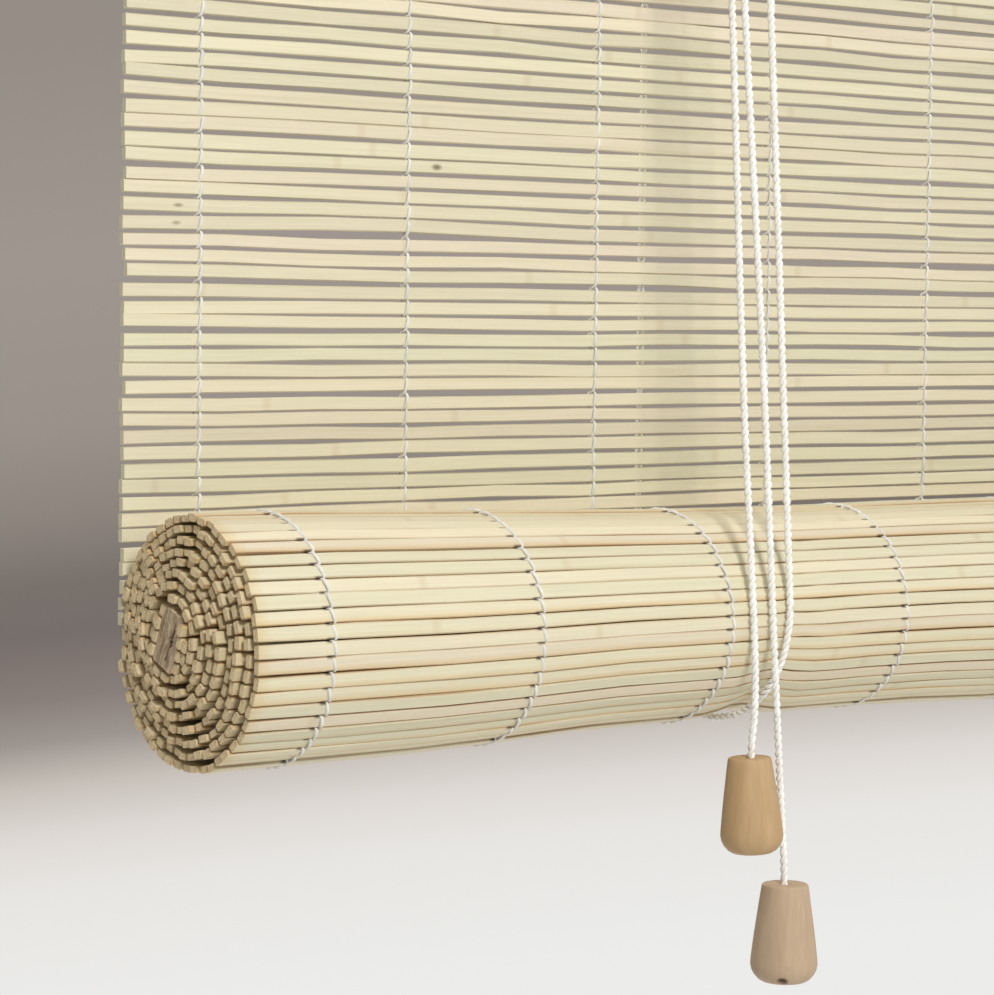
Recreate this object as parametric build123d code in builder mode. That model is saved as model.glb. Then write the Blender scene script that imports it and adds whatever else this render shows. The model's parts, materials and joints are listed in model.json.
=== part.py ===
from build123d import *
from math import acos, atan2, cos, degrees, hypot, pi, radians, sin
import os

# A bamboo roll up blind, partly rolled up from its lower end. Millimetres.
# The origin is midway between the two hanger holes, on the wall face. The wall is the plane Y = 0, the room is
# towards -Y, +X is to the right as seen from the room and +Z is up.

# Slats and the mat that they make
blind_width = 908.0
slat_width = 3.6
slat_gap = 1.34
slat_thickness = 2.0
slat_edge_depth = 0.8
slat_edge_inset = 0.6
flat_slat_count = 121
mat_top_drop = 12.0
wall_to_mat = 7.5

# Warp threads that tie the slats
thread_count = 12
thread_inset = 27.0
thread_width = 1.2
thread_height = 0.4
thread_end_clearance = 0.4

# The rolled part
roll_radius = 36.0
roll_turns = 8
layer_pitch = 3.25
roll_slat_gap = 0.75
web_depth = 0.7
round_turn_share = 0.75
core_setback = 4.5
full_turn = 360.0

# Bottom batten in the middle of the roll
batten_width = 18.0
batten_depth = 12.0
batten_edge = 1.0
batten_tilt = 114.0

# Head: batten in front of the mat, lath behind it
head_drop = 10.0
head_height = 22.0
head_depth = 40.0
head_edge = 2.0
lath_height = 30.0
lath_thickness = 6.0
lath_edge = 1.0

# Nails that clamp the mat between lath and batten, driven between two slats
nail_radius = 0.55
nail_head_radius = 2.0
nail_head_height = 0.7
nail_bite = 11.0
nail_count = 8
nail_plate_clearance = 49.3
nail_gap_number = 3

# Hanger plates on the back of the lath, and their screws
hanger_spacing = 700.0
hanger_width = 20.0
hanger_thickness = 1.5
hanger_rise = 10.0
hanger_hole_radius = 2.5
hanger_foot = 2.0
hanger_screw_radius = 1.5
hanger_screw_head_radius = 2.8
hanger_screw_head_height = 1.2
hanger_screw_length = 5.5
hanger_screw_first = 7.0
hanger_screw_spacing = 13.0
hanger_screw_count = 2

# Lift cord and the two loops that it makes round the roll
cord_radius = 1.3
cord_clearance = 0.4
cord_end_gap = 0.12
loop_spacing = 497.0

# Pulley wheels
wheel_pitch_radius = 6.8
wheel_rim_radius = 7.6
wheel_width = 4.4
wheel_spacing = 5.0
wheel_groove_clearance = 0.3
wheel_groove_share = 0.72
wheel_drop = 11.0
wheel_front_setback = 9.5
running_clearance = 0.05
axle_radius = 1.5
axle_head_radius = 2.4
axle_head_height = 0.8

# Folded sheet brackets that carry the wheels under the head batten
sheet_thickness = 1.2
cheek_gap = 0.8
cheek_drop = 26.8
cheek_corner = 4.0
lock_cheek_reach_left = 26.0
lock_cheek_reach_right = 9.4
lock_lug_length = 11.0
far_cheek_reach = 9.4
far_cheek_drop = 20.0

# Lock pawl that pinches both pull cords against the anvil
pawl_pin_radius = 1.4
pawl_pin_offset = 12.9
pawl_pin_drop = 23.0
pawl_cord_clearance = 0.3
pawl_rise_per_degree = 0.026
pawl_tooth_depth = 0.7
pawl_tooth_count = 8
pawl_low_angle = -35.0
pawl_high_angle = 50.0
pawl_tail_length = 19.0
pawl_tail_height = 6.4
pawl_tail_drop = 3.0
pawl_side_clearance = 0.35
anvil_height = 10.0
anvil_wheel_clearance = 1.4

# Screws that hold the brackets
bracket_screw_radius = 1.6
bracket_screw_head_radius = 2.6
bracket_screw_head_height = 1.6
bracket_screw_length = 13.0

# Screw eyes that anchor the rear strands under the lath
eye_radius = 3.2
eye_wire_radius = 0.7
eye_shank_length = 9.0
eye_neck = 1.6
eye_setback = 4.2
tie_loop_radius = 2.0
tie_loop_wire_radius = 1.0
tie_knot_radius = 2.3
tie_knot_length = 6.0

# Turned pull knobs on the two pull cords
knob_height = 31.7
knob_top_radius = 7.4
knob_belly_radius = 10.8
far_knob_height_share = 0.965
far_knob_width_share = 0.925
knob_belly_share = 0.83
knob_base_radius = 5.6
knob_top_edge = 1.0
knob_bore_radius = 1.7
knob_counterbore_radius = 4.2
knob_counterbore_depth = 8.0
knob_knot_radius = 3.4
knob_knot_length = 5.0
near_knob_drop = 86.2
far_knob_drop = 44.2

# Where the pull cords cross the front of the roll and where their knobs hang, from the near loop leftwards
near_pull_offset = 8.5
near_knob_offset = 0.2
far_pull_offset = 15.7
far_knob_offset = 14.8

# Places worked out from the sizes above
slat_pitch = slat_width + slat_gap
half_width = blind_width / 2
mat_rear_y = -wall_to_mat
mat_front_y = mat_rear_y - slat_thickness
mat_top_z = -mat_top_drop
mat_end_z = mat_top_z - flat_slat_count * slat_pitch
axis_y = mat_rear_y - roll_radius
axis_z = mat_end_z
core_y = axis_y + core_setback
last_layer_radius = roll_radius - layer_pitch * (roll_turns - 1)
head_top_z = -head_drop
head_low_z = head_top_z - head_height
head_front_y = mat_front_y - head_depth
head_mid_y = mat_front_y - head_depth / 2
lath_low_z = head_top_z - lath_height
lath_rear_y = mat_rear_y + lath_thickness
lath_mid_y = mat_rear_y + lath_thickness / 2
thread_step = (blind_width - 2 * thread_inset) / (thread_count - 1)
thread_places = [-half_width + thread_inset + i * thread_step for i in range(thread_count)]
near_loop_x = -loop_spacing / 2
far_loop_x = loop_spacing / 2
near_wheel_x = near_loop_x - wheel_pitch_radius
far_wheel_x = far_loop_x - wheel_pitch_radius
pull_x = near_wheel_x - wheel_pitch_radius
wheel_z = head_low_z - wheel_drop
front_wheel_y = head_front_y + wheel_front_setback
rear_wheel_y = front_wheel_y + wheel_spacing
cord_path_radius = roll_radius + cord_clearance + cord_radius
web_low_z = head_low_z - sheet_thickness
os.makedirs("parts", exist_ok=True)


def save(piece, name):
    piece.part.label = name
    export_step(piece.part, f"parts/{name}.step")


def box_between(low, high):
    """Adds a box given by its two corners."""
    size = [b - a for a, b in zip(low, high)]
    with Locations([tuple((a + b) / 2 for a, b in zip(low, high))]):
        Box(*size)


def bar_along_y(x, z, radius, y_from, y_to, mode=Mode.ADD):
    """Adds or cuts a round bar that runs along Y."""
    with BuildSketch(Plane.XZ.offset(-y_to)) as section:
        with Locations((x, z)):
            Circle(radius)
    extrude(section.sketch, amount=y_to - y_from, mode=mode)


def bar_along_z(x, y, radius, z_from, z_to, mode=Mode.ADD):
    """Adds or cuts a round bar that runs along Z."""
    with BuildSketch(Plane.XY.offset(z_from)) as section:
        with Locations((x, y)):
            Circle(radius)
    extrude(section.sketch, amount=z_to - z_from, mode=mode)


# Flat part of the mat: crowned slats, tied to one wall by the first and last thread line
slat_tops = [mat_top_z - i * slat_pitch for i in range(flat_slat_count)]
flat_low_z = slat_tops[-1] - slat_width
crown_y = -slat_thickness + slat_edge_depth
slat_outline = [(0, -slat_width), (0, 0), (crown_y, 0), (-slat_thickness, -slat_edge_inset),
                (-slat_thickness, slat_edge_inset - slat_width), (crown_y, -slat_width)]
with BuildPart() as slat_mat:
    with BuildSketch(Plane.YZ.offset(-half_width)):
        with Locations(*[(mat_rear_y, top_z) for top_z in slat_tops]):
            Polygon(*slat_outline, align=None)
    extrude(amount=blind_width)
    for x in (thread_places[0], thread_places[-1]):
        box_between((x - thread_width / 2, mat_front_y + slat_edge_depth, flat_low_z),
                    (x + thread_width / 2, mat_rear_y, mat_top_z))
save(slat_mat, "slat_mat")


# Warp threads of the flat part: a half round strand on each face of the slats
def half_round(x, face_y, height):
    with BuildLine() as section:
        Line((x - thread_width / 2, face_y), (x + thread_width / 2, face_y))
        ThreePointArc((x + thread_width / 2, face_y), (x, face_y + height), (x - thread_width / 2, face_y))
    make_face(section.edges())


with BuildPart() as mat_warp_threads:
    for face_y, height, start_z in ((mat_front_y, -thread_height, head_low_z),
                                    (mat_rear_y, thread_height, lath_low_z)):
        with BuildSketch(Plane.XY.offset(flat_low_z)):
            for x in thread_places:
                half_round(x, face_y, height)
        extrude(amount=start_z - thread_end_clearance - flat_low_z)
save(mat_warp_threads, "mat_warp_threads")


# Rolled part: the angle runs from the rear of the roll, where the flat part arrives, down, to the front and
# over. The layers lie closer together at the rear, because the core has settled that way.
def layer_radius(angle):
    turn, rest = divmod(angle / full_turn, 1)
    step_in = max(0, rest - round_turn_share) / (1 - round_turn_share)
    return roll_radius - layer_pitch * (turn + step_in)


def roll_point(angle, depth):
    radius = layer_radius(angle)
    setback = core_setback * (roll_radius - radius) / (roll_radius - last_layer_radius)
    reach = radius - depth
    return (axis_y + setback + reach * cos(radians(angle)), axis_z - reach * sin(radians(angle)))


def roll_outline():
    outer, inner = [], []
    start = 0
    while start < full_turn * (roll_turns - 1 + round_turn_share):
        middle_radius = layer_radius(start) - slat_thickness / 2
        end = start + degrees(slat_width / middle_radius)
        after = start + degrees((slat_width + roll_slat_gap) / middle_radius)
        outer += [roll_point(start, 0), roll_point(end, 0), roll_point(end, web_depth),
                  roll_point(after, web_depth)]
        inner += [roll_point(start, slat_thickness), roll_point(end, slat_thickness)]
        start = after
    return outer[:-2] + inner[::-1]


with BuildPart() as mat_roll:
    with BuildSketch(Plane.YZ.offset(-half_width)):
        with BuildLine():
            Polyline(*roll_outline(), close=True)
        make_face()
    extrude(amount=blind_width)
save(mat_roll, "mat_roll")

# Warp threads round the outer turn, as far as its round part goes
with BuildPart() as roll_warp_threads:
    with BuildSketch(Plane.XY.offset(axis_z)):
        for x in thread_places:
            half_round(x, axis_y + roll_radius, thread_height)
    revolve(axis=Axis((0, axis_y, axis_z), (-1, 0, 0)), revolution_arc=full_turn * round_turn_share)
save(roll_warp_threads, "roll_warp_threads")

core_plane = Plane(origin=(0, core_y, axis_z), z_dir=(1, 0, 0),
                   x_dir=(0, cos(radians(batten_tilt)), sin(radians(batten_tilt))))
with BuildPart() as bottom_batten:
    with BuildSketch(core_plane):
        Rectangle(batten_width, batten_depth)
        chamfer(vertices(), length=batten_edge)
    extrude(amount=half_width, both=True)
save(bottom_batten, "bottom_batten")

# Places of the fasteners: one nail between each end and its hanger plate, the others between the two plates
hanger_places = [-hanger_spacing / 2, hanger_spacing / 2]
hanger_screw_z = [head_top_z - hanger_screw_first - i * hanger_screw_spacing for i in range(hanger_screw_count)]
nail_outer_x = (half_width + (hanger_spacing + hanger_width) / 2) / 2
nail_inner_x = (hanger_spacing - hanger_width) / 2 - nail_plate_clearance
inner_nail_count = nail_count - 2
nail_step = 2 * nail_inner_x / (inner_nail_count - 1)
inner_nail_places = [-nail_inner_x + i * nail_step for i in range(inner_nail_count)]
nail_places = [-nail_outer_x, *inner_nail_places, nail_outer_x]
nail_z = mat_top_z - nail_gap_number * slat_pitch + slat_gap / 2
nail_tip_y = mat_front_y - nail_bite
cheek_front_y = front_wheel_y - wheel_width / 2 - cheek_gap
cheek_rear_y = rear_wheel_y + wheel_width / 2 + cheek_gap
far_cheek_front_y = rear_wheel_y - wheel_width / 2 - cheek_gap
lock_left_x = near_wheel_x - lock_cheek_reach_left
lock_right_x = near_wheel_x + lock_cheek_reach_right
far_left_x = far_wheel_x - far_cheek_reach
far_right_x = far_wheel_x + far_cheek_reach
lug_middle = lock_lug_length / 2
bracket_screw_x = [lock_left_x - lug_middle, lock_right_x + lug_middle,
                   far_left_x - lug_middle, far_right_x + lug_middle]
bracket_screw_places = [(x, front_wheel_y) for x in bracket_screw_x]
bracket_screw_top_z = web_low_z + bracket_screw_length

# Head batten, rounded along its long edges, with pilot holes for nails and screws
with BuildPart() as head_batten:
    with BuildSketch(Plane.YZ):
        with Locations((head_mid_y, (head_top_z + head_low_z) / 2)):
            Rectangle(head_depth, head_height)
        front_corners = vertices().group_by(Axis.X)[0]
        fillet(front_corners, radius=head_edge)
    extrude(amount=half_width, both=True)
    for x in nail_places:
        bar_along_y(x, nail_z, nail_radius + running_clearance, nail_tip_y, mat_front_y, Mode.SUBTRACT)
    for x, y in bracket_screw_places:
        bar_along_z(x, y, bracket_screw_radius + running_clearance, head_low_z,
                    bracket_screw_top_z + running_clearance, Mode.SUBTRACT)
save(head_batten, "head_batten")

eye_z = lath_low_z - eye_neck - eye_radius
eye_y = -eye_setback
with BuildPart() as rear_lath:
    with BuildSketch(Plane.YZ):
        with Locations((lath_mid_y, (head_top_z + lath_low_z) / 2)):
            Rectangle(lath_thickness, lath_height)
        rear_corners = vertices().group_by(Axis.X)[-1]
        chamfer(rear_corners, length=lath_edge)
    extrude(amount=half_width, both=True)
    for x in nail_places:
        bar_along_y(x, nail_z, nail_radius + running_clearance, mat_rear_y, lath_rear_y, Mode.SUBTRACT)
    for x in hanger_places:
        for z in hanger_screw_z:
            bar_along_y(x, z, hanger_screw_radius + running_clearance, mat_rear_y, lath_rear_y, Mode.SUBTRACT)
    for x in (near_loop_x, far_loop_x):
        bar_along_z(x, eye_y, eye_wire_radius + running_clearance, lath_low_z,
                    lath_low_z + eye_shank_length + running_clearance, Mode.SUBTRACT)
save(rear_lath, "rear_lath")

with BuildPart() as lath_nails:
    for x in nail_places:
        bar_along_y(x, nail_z, nail_radius, nail_tip_y + running_clearance, lath_rear_y)
        bar_along_y(x, nail_z, nail_head_radius, lath_rear_y, lath_rear_y + nail_head_height)
save(lath_nails, "lath_nails")

# Hanger plates: a strap with a round top, one wall hole above the head and two countersunk holes
for side, hanger_x in zip(("left", "right"), hanger_places):
    with BuildPart() as hanger_plate:
        with BuildSketch(Plane.XZ):
            low_z = lath_low_z - hanger_foot
            with Locations((hanger_x, low_z / 2)):
                Rectangle(hanger_width, -low_z)
            with Locations((hanger_x, 0)):
                Circle(hanger_rise)
                Circle(hanger_hole_radius, mode=Mode.SUBTRACT)
            foot_corners = vertices().group_by(Axis.Y)[0]
            fillet(foot_corners, radius=hanger_foot)
        extrude(amount=hanger_thickness)
        wall_face = Plane(origin=(hanger_x, 0, 0), x_dir=(-1, 0, 0), z_dir=(0, 1, 0))
        with Locations(*[wall_face.location * Location((0, z)) for z in hanger_screw_z]):
            CounterSinkHole(hanger_screw_radius + running_clearance,
                            hanger_screw_head_radius + running_clearance, depth=hanger_thickness)
    save(hanger_plate, f"hanger_plate_{side}")

with BuildPart() as hanger_screws:
    for x in hanger_places:
        for z in hanger_screw_z:
            screw_plane = Plane(origin=(x, 0, z), x_dir=(1, 0, 0), z_dir=(0, 0, 1))
            with BuildSketch(screw_plane):
                with BuildLine():
                    Polyline((0, 0), (hanger_screw_head_radius, 0),
                             (hanger_screw_radius, -hanger_screw_head_height),
                             (hanger_screw_radius, -hanger_screw_length), (0, -hanger_screw_length), close=True)
                make_face()
            revolve(axis=Axis((x, 0, z), (0, 1, 0)))
save(hanger_screws, "hanger_screws")


# Folded sheet bracket: a web under the head with a lug at each end, and two cheeks
def sheet_bracket(left_x, right_x, front_y, rear_y, drop):
    low_z = head_low_z - drop
    box_between((left_x - lock_lug_length, front_y - sheet_thickness, web_low_z),
                (right_x + lock_lug_length, rear_y + sheet_thickness, head_low_z))
    for y in (front_y, rear_y + sheet_thickness):
        with BuildSketch(Plane.XZ.offset(-y)) as cheek:
            with Locations(((left_x + right_x) / 2, (web_low_z + low_z) / 2)):
                Rectangle(right_x - left_x, web_low_z - low_z)
            fillet(cheek.vertices().group_by(Axis.Z)[0], radius=cheek_corner)
        extrude(cheek.sketch, amount=sheet_thickness)


def cut_screw_holes(places):
    for x, y in places:
        bar_along_z(x, y, bracket_screw_radius + running_clearance, web_low_z, head_low_z, Mode.SUBTRACT)


anvil_top_z = wheel_z - wheel_rim_radius - anvil_wheel_clearance
anvil_left_x = pull_x + cord_radius + pawl_cord_clearance
pawl_x = pull_x - pawl_pin_offset
pawl_z = head_low_z - pawl_pin_drop
cheek_out_front_y = cheek_front_y - sheet_thickness
cheek_out_rear_y = cheek_rear_y + sheet_thickness
with BuildPart() as lock_bracket:
    sheet_bracket(lock_left_x, lock_right_x, cheek_front_y, cheek_rear_y, cheek_drop)
    box_between((anvil_left_x, cheek_front_y, anvil_top_z - anvil_height),
                (anvil_left_x + sheet_thickness, cheek_rear_y, anvil_top_z))
    for x, z, radius in ((near_wheel_x, wheel_z, axle_radius), (pawl_x, pawl_z, pawl_pin_radius)):
        bar_along_y(x, z, radius + running_clearance, cheek_out_front_y, cheek_out_rear_y, Mode.SUBTRACT)
    cut_screw_holes(bracket_screw_places[:2])
save(lock_bracket, "lock_bracket")

far_cheek_out_front_y = far_cheek_front_y - sheet_thickness
with BuildPart() as far_bracket:
    sheet_bracket(far_left_x, far_right_x, far_cheek_front_y, cheek_rear_y, far_cheek_drop)
    box_between((far_left_x - lock_lug_length, cheek_out_front_y, web_low_z),
                (far_right_x + lock_lug_length, far_cheek_out_front_y, head_low_z))
    bar_along_y(far_wheel_x, wheel_z, axle_radius + running_clearance, far_cheek_out_front_y, cheek_out_rear_y,
                Mode.SUBTRACT)
    cut_screw_holes(bracket_screw_places[2:])
save(far_bracket, "far_bracket")

with BuildPart() as bracket_screws:
    for x, y in bracket_screw_places:
        bar_along_z(x, y, bracket_screw_radius, web_low_z, bracket_screw_top_z)
        bar_along_z(x, y, bracket_screw_head_radius, web_low_z - bracket_screw_head_height, web_low_z)
save(bracket_screws, "bracket_screws")


# Riveted pins through the cheeks
def rivet(x, z, radius, front_y, rear_y):
    bar_along_y(x, z, radius, front_y, rear_y)
    bar_along_y(x, z, axle_head_radius, front_y - axle_head_height, front_y)
    bar_along_y(x, z, axle_head_radius, rear_y, rear_y + axle_head_height)


with BuildPart() as lock_axle:
    rivet(near_wheel_x, wheel_z, axle_radius, cheek_out_front_y, cheek_out_rear_y)
save(lock_axle, "lock_axle")

with BuildPart() as pawl_pin:
    rivet(pawl_x, pawl_z, pawl_pin_radius, cheek_out_front_y, cheek_out_rear_y)
save(pawl_pin, "pawl_pin")

with BuildPart() as far_axle:
    rivet(far_wheel_x, wheel_z, axle_radius, far_cheek_out_front_y, cheek_out_rear_y)
save(far_axle, "far_axle")

# Grooved wheels on those axles
groove_radius = wheel_pitch_radius - cord_radius - wheel_groove_clearance
groove_half = wheel_width * wheel_groove_share / 2
for name, wheel_x, wheel_y in (("near_cord_wheel", near_wheel_x, front_wheel_y),
                               ("far_cord_lock_wheel", near_wheel_x, rear_wheel_y),
                               ("far_cord_wheel", far_wheel_x, rear_wheel_y)):
    bore_radius = axle_radius + running_clearance
    with BuildPart() as wheel:
        with BuildSketch(Plane(origin=(wheel_x, wheel_y, wheel_z), x_dir=(1, 0, 0), z_dir=(0, 0, 1))):
            with BuildLine():
                Polyline((wheel_rim_radius, groove_half), (wheel_rim_radius, wheel_width / 2),
                         (bore_radius, wheel_width / 2), (bore_radius, -wheel_width / 2),
                         (wheel_rim_radius, -wheel_width / 2), (wheel_rim_radius, -groove_half))
                ThreePointArc((wheel_rim_radius, -groove_half), (groove_radius, 0),
                              (wheel_rim_radius, groove_half))
            make_face()
        revolve(axis=Axis((wheel_x, wheel_y, wheel_z), (0, 1, 0)))
    save(wheel, name)

# Pawl: a toothed cam whose radius grows downwards, so that a cord that runs up turns it tighter, and its tail
cam_radius = pawl_pin_offset - cord_radius - pawl_cord_clearance


def pawl_point(angle, depth):
    radius = cam_radius - pawl_rise_per_degree * angle - depth
    return (pawl_x + radius * cos(radians(angle)), pawl_z + radius * sin(radians(angle)))


def pawl_outline():
    points = []
    tooth_angle = (pawl_high_angle - pawl_low_angle) / pawl_tooth_count
    for i in range(pawl_tooth_count):
        tip = pawl_low_angle + i * tooth_angle
        points += [pawl_point(tip, 0), pawl_point(tip + tooth_angle, pawl_tooth_depth)]
    top_z = pawl_z + pawl_tail_height / 2
    end_z = top_z - pawl_tail_drop
    tail_x = pawl_x - pawl_tail_length
    tail_low_z = end_z - pawl_tail_height
    return points + [(pawl_x, top_z), (tail_x, end_z), (tail_x, tail_low_z), (pawl_x, top_z - pawl_tail_height)]


with BuildPart() as lock_pawl:
    with BuildSketch(Plane.XZ.offset(-cheek_rear_y + pawl_side_clearance)):
        with BuildLine():
            Polyline(*pawl_outline(), close=True)
        make_face()
        tail_corners = vertices().group_by(Axis.X)[0]
        fillet(tail_corners, radius=pawl_tail_height / 3)
        with Locations((pawl_x, pawl_z)):
            Circle(pawl_pin_radius + running_clearance, mode=Mode.SUBTRACT)
    extrude(amount=cheek_rear_y - cheek_front_y - 2 * pawl_side_clearance)
save(lock_pawl, "lock_pawl")

# Screw eyes under the lath, with the tied end of each rear strand looped through them
tie_z = eye_z - eye_radius
knot_top_z = tie_z - tie_loop_radius
knot_low_z = knot_top_z - tie_knot_length
for side, loop_x in (("near", near_loop_x), ("far", far_loop_x)):
    with BuildPart() as screw_eye:
        with Locations(Plane(origin=(loop_x, eye_y, eye_z), x_dir=(1, 0, 0), z_dir=(0, 1, 0))):
            Torus(eye_radius, eye_wire_radius)
        bar_along_z(loop_x, eye_y, eye_wire_radius, eye_z + eye_radius, lath_low_z + eye_shank_length)
    save(screw_eye, f"screw_eye_{side}")
    with BuildPart() as anchor_knot:
        with Locations(Plane(origin=(loop_x, eye_y, tie_z), x_dir=(0, 1, 0), z_dir=(1, 0, 0))):
            Torus(tie_loop_radius, tie_loop_wire_radius)
        bar_along_z(loop_x, eye_y, tie_knot_radius, knot_low_z, knot_top_z)
        knot_ends = edges().filter_by(GeomType.CIRCLE).group_by(Axis.Z)[0]
        fillet(knot_ends, radius=tie_knot_radius / 2)
    save(anchor_knot, f"anchor_knot_{side}")


# Cords: round tubes along straight runs and arcs of the size of the roll and the wheels
def front_touch(y, z):
    """Where a line from a point above meets the front of the roll's cord circle."""
    distance = hypot(y - axis_y, z - axis_z)
    turn = atan2(z - axis_z, -(y - axis_y)) - acos(cord_path_radius / distance)
    return (axis_y - cord_path_radius * cos(turn), axis_z + cord_path_radius * sin(turn), degrees(turn))


def rear_touch(y, z):
    """Where a line from a point above meets the rear of the roll's cord circle."""
    distance = hypot(y - axis_y, z - axis_z)
    turn = atan2(z - axis_z, y - axis_y) - acos(cord_path_radius / distance)
    return (axis_y + cord_path_radius * cos(turn), axis_z + cord_path_radius * sin(turn), degrees(turn))


def tube(path):
    with BuildSketch(Plane(origin=path @ 0, z_dir=path % 0)) as section:
        Circle(cord_radius)
    sweep(section.sketch, path=path)


def report_tube(name, piece, length):
    ratio = piece.part.volume / (pi * cord_radius ** 2 * length)
    print(f"{name}: {length:.1f} mm long, volume over section times length {ratio:.4f}")


for side, loop_x, wheel_y in (("near", near_loop_x, front_wheel_y), ("far", far_loop_x, rear_wheel_y)):
    front_y, front_z, front_turn = front_touch(wheel_y, wheel_z)
    rear_y, rear_z, rear_turn = rear_touch(eye_y, knot_low_z)
    with BuildPart() as front_strand:
        with BuildLine() as front_line:
            Line((loop_x, wheel_y, wheel_z - cord_end_gap), (loop_x, front_y, front_z))
        tube(front_line.wire())
    save(front_strand, f"front_strand_{side}")
    report_tube(f"front_strand_{side}", front_strand, front_line.wire().length)
    with BuildPart() as rear_strand:
        with BuildLine() as rear_line:
            Line((loop_x, eye_y, knot_low_z), (loop_x, rear_y, rear_z))
        tube(rear_line.wire())
    save(rear_strand, f"rear_strand_{side}")
    report_tube(f"rear_strand_{side}", rear_strand, rear_line.wire().length)
    with BuildPart() as cord_bight:
        with BuildLine(Plane(origin=(loop_x, axis_y, axis_z), x_dir=(0, 1, 0), z_dir=(1, 0, 0))) as bight_line:
            CenterArc((0, 0), cord_path_radius, 180 - front_turn, 180 + front_turn + rear_turn)
        tube(bight_line.wire())
    save(cord_bight, f"cord_bight_{side}")
    report_tube(f"cord_bight_{side}", cord_bight, bight_line.wire().length)

with BuildPart() as near_wheel_cord:
    with BuildLine(Plane.XZ.offset(-front_wheel_y)) as near_arc:
        CenterArc((near_wheel_x, wheel_z), wheel_pitch_radius, 0, 180)
    tube(near_arc.wire())
save(near_wheel_cord, "near_wheel_cord")
report_tube("near_wheel_cord", near_wheel_cord, near_arc.wire().length)

with BuildPart() as cross_cord:
    with BuildLine(Plane.XZ.offset(-rear_wheel_y)) as cross_line:
        CenterArc((far_wheel_x, wheel_z), wheel_pitch_radius, 0, 90)
        Line((far_wheel_x, wheel_z + wheel_pitch_radius), (near_wheel_x, wheel_z + wheel_pitch_radius))
        CenterArc((near_wheel_x, wheel_z), wheel_pitch_radius, 90, 90)
    tube(cross_line.wire())
save(cross_cord, "cross_cord")
report_tube("cross_cord", cross_cord, cross_line.wire().length)

# Pull cords: from the wheels down over the front of the roll to the knobs
hang_y = axis_y - cord_path_radius
for side, wheel_y, cross_offset, knob_offset, knob_drop, height_share, width_share in (
        ("near", front_wheel_y, near_pull_offset, near_knob_offset, near_knob_drop, 1, 1),
        ("far", rear_wheel_y, far_pull_offset, far_knob_offset, far_knob_drop, far_knob_height_share,
         far_knob_width_share)):
    cross_x = near_loop_x - cross_offset
    knob_x = near_loop_x - knob_offset
    height = knob_height * height_share
    knob_top_z = axis_z - knob_drop
    knob_low_z = knob_top_z - height
    knot_z = knob_low_z + knob_counterbore_depth
    touch_y, touch_z, touch_turn = front_touch(wheel_y, wheel_z)
    bend_z = touch_z - cord_path_radius * sin(radians(touch_turn)) / 2
    with BuildPart() as pull_cord:
        with BuildLine() as pull_line:
            FilletPolyline((pull_x, wheel_y, wheel_z - cord_end_gap), (cross_x, hang_y, bend_z),
                           (knob_x, hang_y, knob_top_z), (knob_x, hang_y, knot_z), radius=cord_path_radius)
        tube(pull_line.wire())
    save(pull_cord, f"pull_cord_{side}")
    report_tube(f"pull_cord_{side}", pull_cord, pull_line.wire().length)
    print(f"pull_cord_{side}: arcs of radius {cord_path_radius:.1f} mm")

    # Turned knob with a bore for the cord and a counterbore that hides its knot
    with BuildPart() as pull_knob:
        with BuildSketch(Plane(origin=(knob_x, hang_y, knob_low_z), x_dir=(1, 0, 0), z_dir=(0, -1, 0))):
            belly = (knob_belly_radius * width_share, height * (1 - knob_belly_share))
            rim = (knob_top_radius * width_share, height)
            base = (knob_base_radius * width_share, 0)
            with BuildLine():
                Polyline(belly, rim, (0, height), (0, 0), base)
                TangentArc(belly, base, tangent=(belly[0] - rim[0], belly[1] - rim[1]))
            make_face()
        revolve(axis=Axis((knob_x, hang_y, knob_low_z), (0, 0, 1)))
        top_edge = edges().filter_by(GeomType.CIRCLE).group_by(Axis.Z)[-1]
        fillet(top_edge, radius=knob_top_edge)
        bar_along_z(knob_x, hang_y, knob_bore_radius, knob_low_z, knob_top_z, Mode.SUBTRACT)
        bar_along_z(knob_x, hang_y, knob_counterbore_radius, knob_low_z, knot_z, Mode.SUBTRACT)
    save(pull_knob, f"pull_knob_{side}")

    with BuildPart() as knob_knot:
        bar_along_z(knob_x, hang_y, knob_knot_radius, knot_z - knob_knot_length, knot_z)
        fillet(edges().filter_by(GeomType.CIRCLE), radius=knob_knot_radius / 3)
    save(knob_knot, f"knob_knot_{side}")
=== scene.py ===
import json
import math

import bmesh
import bpy
import numpy as np
from mathutils import Matrix, Vector


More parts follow.
